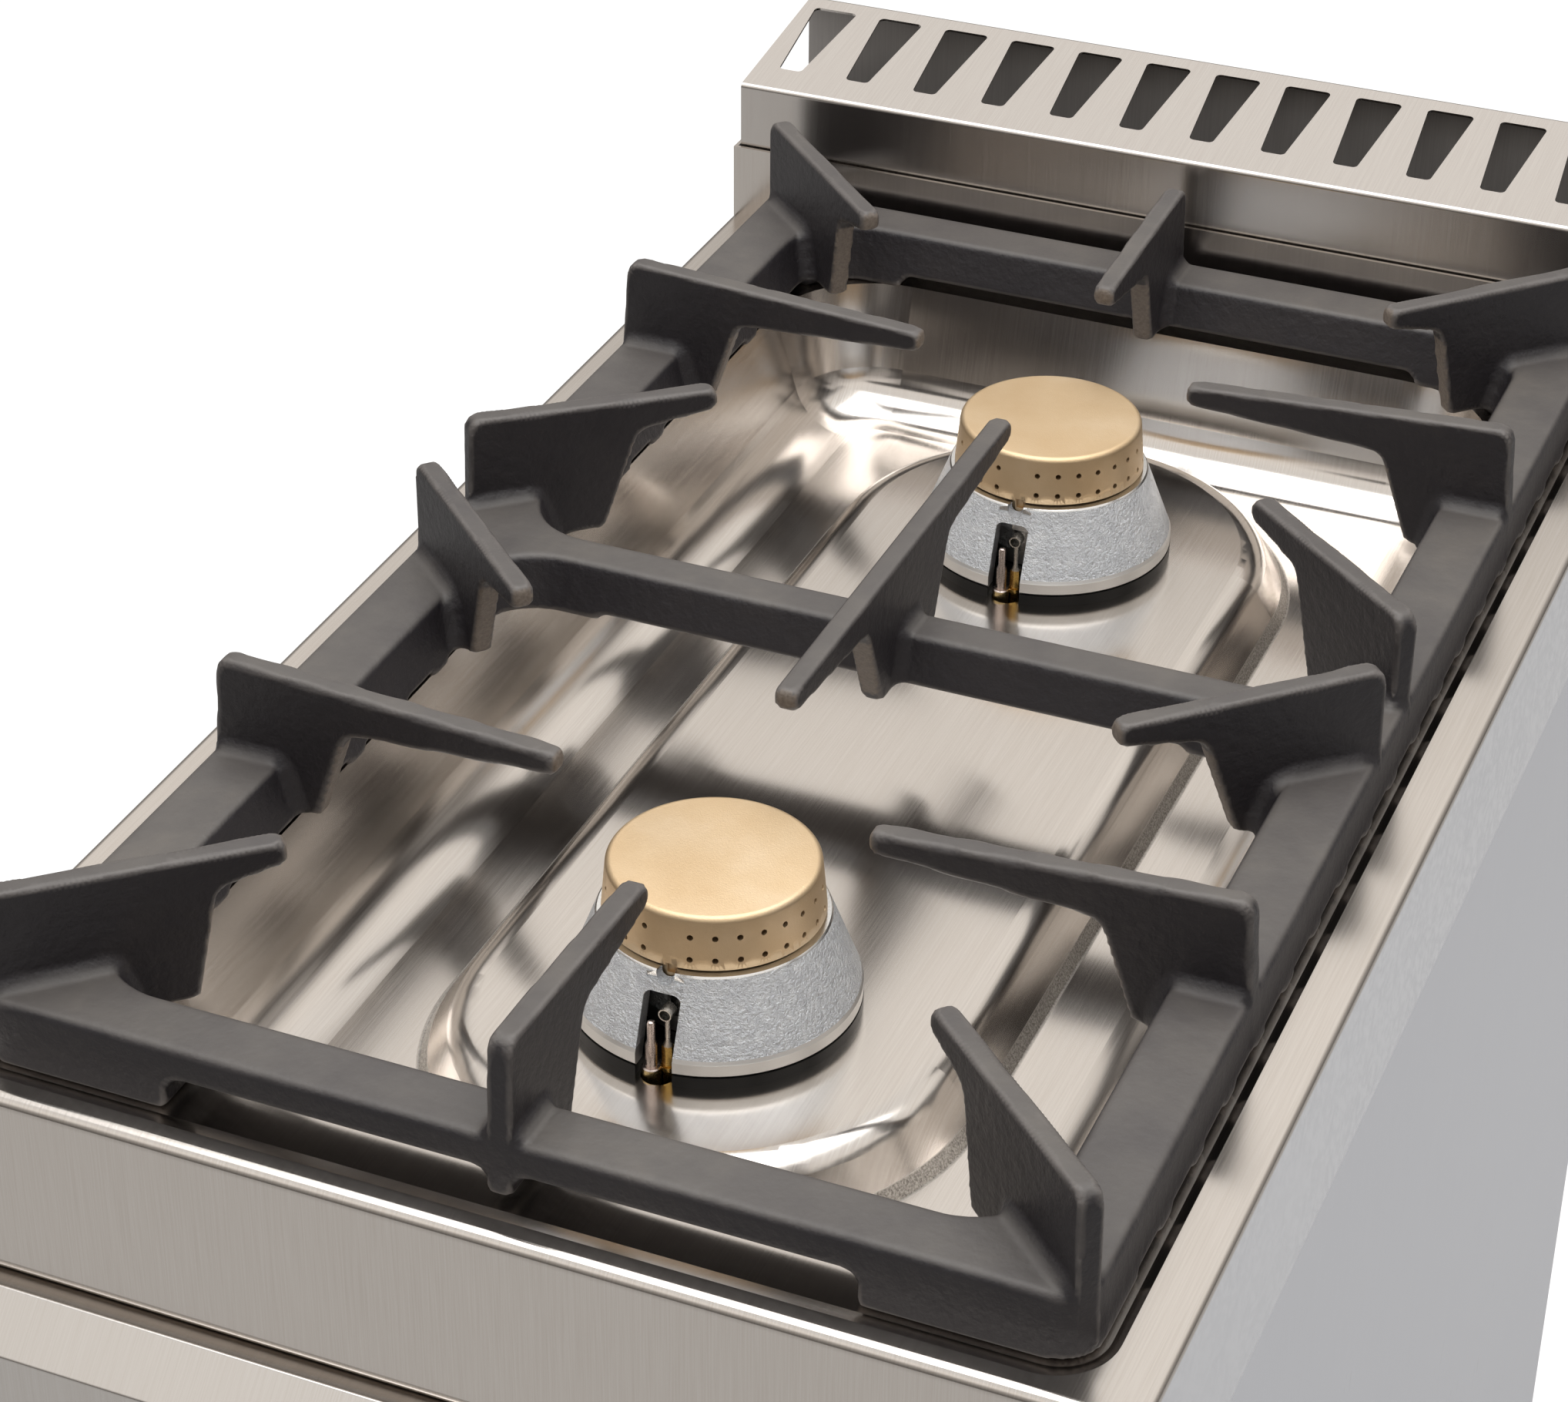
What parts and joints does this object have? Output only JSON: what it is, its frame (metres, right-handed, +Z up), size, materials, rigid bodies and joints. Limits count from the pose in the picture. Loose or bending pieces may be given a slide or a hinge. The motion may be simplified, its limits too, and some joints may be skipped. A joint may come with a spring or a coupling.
{
  "type": "gas cooktop",
  "caption": "Free-standing stainless gas cooktop: burners in a pressed well under a cast-iron pan support, slotted flue, control knobs, open compartment, adjustable feet.",
  "frame": {"origin": "on the floor, under the middle of the bounding box", "axes": "+Z up; +Y to the rear, towards the flue; +X to the right of someone standing at the knobs"},
  "size_m": [0.4, 0.8202, 0.9391],
  "materials": {
    "aluminised_steel": "dull",
    "aluminium_tube": "drawn",
    "black_plastic": "matt",
    "bright_steel": "bright",
    "cast_aluminium": "shot-blasted casting",
    "cast_iron": "matt, fine cast texture",
    "copper_tube": "drawn copper",
    "enamelled_iron": "black enamel",
    "foot_steel": "turned",
    "forged_brass": "matt bead-blasted",
    "leg_steel": "satin",
    "machined_brass": "machined",
    "satin_chrome": "satin",
    "stainless_steel": "satin",
    "zinc_steel": "zinc plated"
  },
  "bodies": {
    "cabinet": {"back_panel": "stainless_steel", "back_panel_screws": "bright_steel", "base_shelf": "stainless_steel", "compartment_ceiling": "stainless_steel", "control_panel": "stainless_steel", "flue_cover": "stainless_steel", "front_burner_bridge": "aluminised_steel", "front_burner_cup": "enamelled_iron", "front_feed_tube": "aluminium_tube", "front_gas_valve": "machined_brass", "front_injector": "machined_brass", "front_knob_bezel": "satin_chrome", "front_left_leg": "leg_steel", "front_mixing_tube": "enamelled_iron", "front_pilot_burner": "machined_brass", "front_pilot_tube": "copper_tube", "front_right_leg": "leg_steel", "front_thermocouple": "machined_brass", "front_thermocouple_lead": "copper_tube", "gas_inlet": "zinc_steel", "gas_manifold": "zinc_steel", "left_side_panel": "stainless_steel", "leg_inserts": "zinc_steel", "leg_screws": "bright_steel", "rear_burner_bridge": "aluminised_steel", "rear_burner_cup": "enamelled_iron", "rear_feed_tube": "aluminium_tube", "rear_gas_valve": "machined_brass", "rear_injector": "machined_brass", "rear_knob_bezel": "satin_chrome", "rear_left_leg": "leg_steel", "rear_mixing_tube": "enamelled_iron", "rear_pilot_burner": "machined_brass", "rear_pilot_tube": "copper_tube", "rear_right_leg": "leg_steel", "rear_thermocouple": "machined_brass", "rear_thermocouple_lead": "copper_tube", "right_side_panel": "stainless_steel", "worktop": "stainless_steel"},
    "pan_support_body": {"pan_support": "cast_iron"},
    "front_burner": {"front_burner_body": "cast_aluminium"},
    "rear_burner": {"rear_burner_body": "cast_aluminium"},
    "front_cap": {"front_burner_cap": "forged_brass"},
    "rear_cap": {"rear_burner_cap": "forged_brass"},
    "front_plunger": {"front_valve_plunger": "machined_brass"},
    "rear_plunger": {"rear_valve_plunger": "machined_brass"},
    "front_control": {"front_knob": "black_plastic", "front_valve_stem": "bright_steel"},
    "rear_control": {"rear_knob": "black_plastic", "rear_valve_stem": "bright_steel"},
    "front_left_foot_body": {"front_left_foot": "foot_steel"},
    "front_right_foot_body": {"front_right_foot": "foot_steel"},
    "rear_left_foot_body": {"rear_left_foot": "foot_steel"},
    "rear_right_foot_body": {"rear_right_foot": "foot_steel"}
  },
  "joints": [
    {"name": "pan_support_lift", "type": "slide", "parent": "cabinet", "child": "pan_support_body", "axis": [0, 0, 1], "range_m": [0, 0.08]},
    {"name": "front_burner_lift", "type": "slide", "parent": "cabinet", "child": "front_burner", "axis": [0, 0, 1], "range_m": [0, 0.05]},
    {"name": "front_cap_lift", "type": "slide", "parent": "front_burner", "child": "front_cap", "axis": [0, 0, 1], "range_m": [0, 0.03]},
    {"name": "front_knob_push", "type": "slide", "parent": "cabinet", "child": "front_plunger", "axis": [0, 1, 0], "range_m": [0, 0.005], "stiffness_N_per_m": 2500, "springref_m": -0.003},
    {"name": "front_knob_turn", "type": "hinge", "parent": "front_plunger", "child": "front_control", "pos_m": [-0.095, -0.3696, 0.705], "axis": [0, -1, 0], "range_deg": [0, 180]},
    {"name": "rear_burner_lift", "type": "slide", "parent": "cabinet", "child": "rear_burner", "axis": [0, 0, 1], "range_m": [0, 0.05]},
    {"name": "rear_cap_lift", "type": "slide", "parent": "rear_burner", "child": "rear_cap", "axis": [0, 0, 1], "range_m": [0, 0.03]},
    {"name": "rear_knob_push", "type": "slide", "parent": "cabinet", "child": "rear_plunger", "axis": [0, 1, 0], "range_m": [0, 0.005], "stiffness_N_per_m": 2500, "springref_m": -0.003},
    {"name": "rear_knob_turn", "type": "hinge", "parent": "rear_plunger", "child": "rear_control", "pos_m": [0.095, -0.3696, 0.705], "axis": [0, -1, 0], "range_deg": [0, 180]},
    {"name": "front_left_foot_screw", "type": "slide", "parent": "cabinet", "child": "front_left_foot_body", "axis": [0, 0, -1], "range_m": [0, 0.05]},
    {"name": "front_right_foot_screw", "type": "slide", "parent": "cabinet", "child": "front_right_foot_body", "axis": [0, 0, -1], "range_m": [0, 0.05]},
    {"name": "rear_left_foot_screw", "type": "slide", "parent": "cabinet", "child": "rear_left_foot_body", "axis": [0, 0, -1], "range_m": [0, 0.05]},
    {"name": "rear_right_foot_screw", "type": "slide", "parent": "cabinet", "child": "rear_right_foot_body", "axis": [0, 0, -1], "range_m": [0, 0.05]}
  ]
}
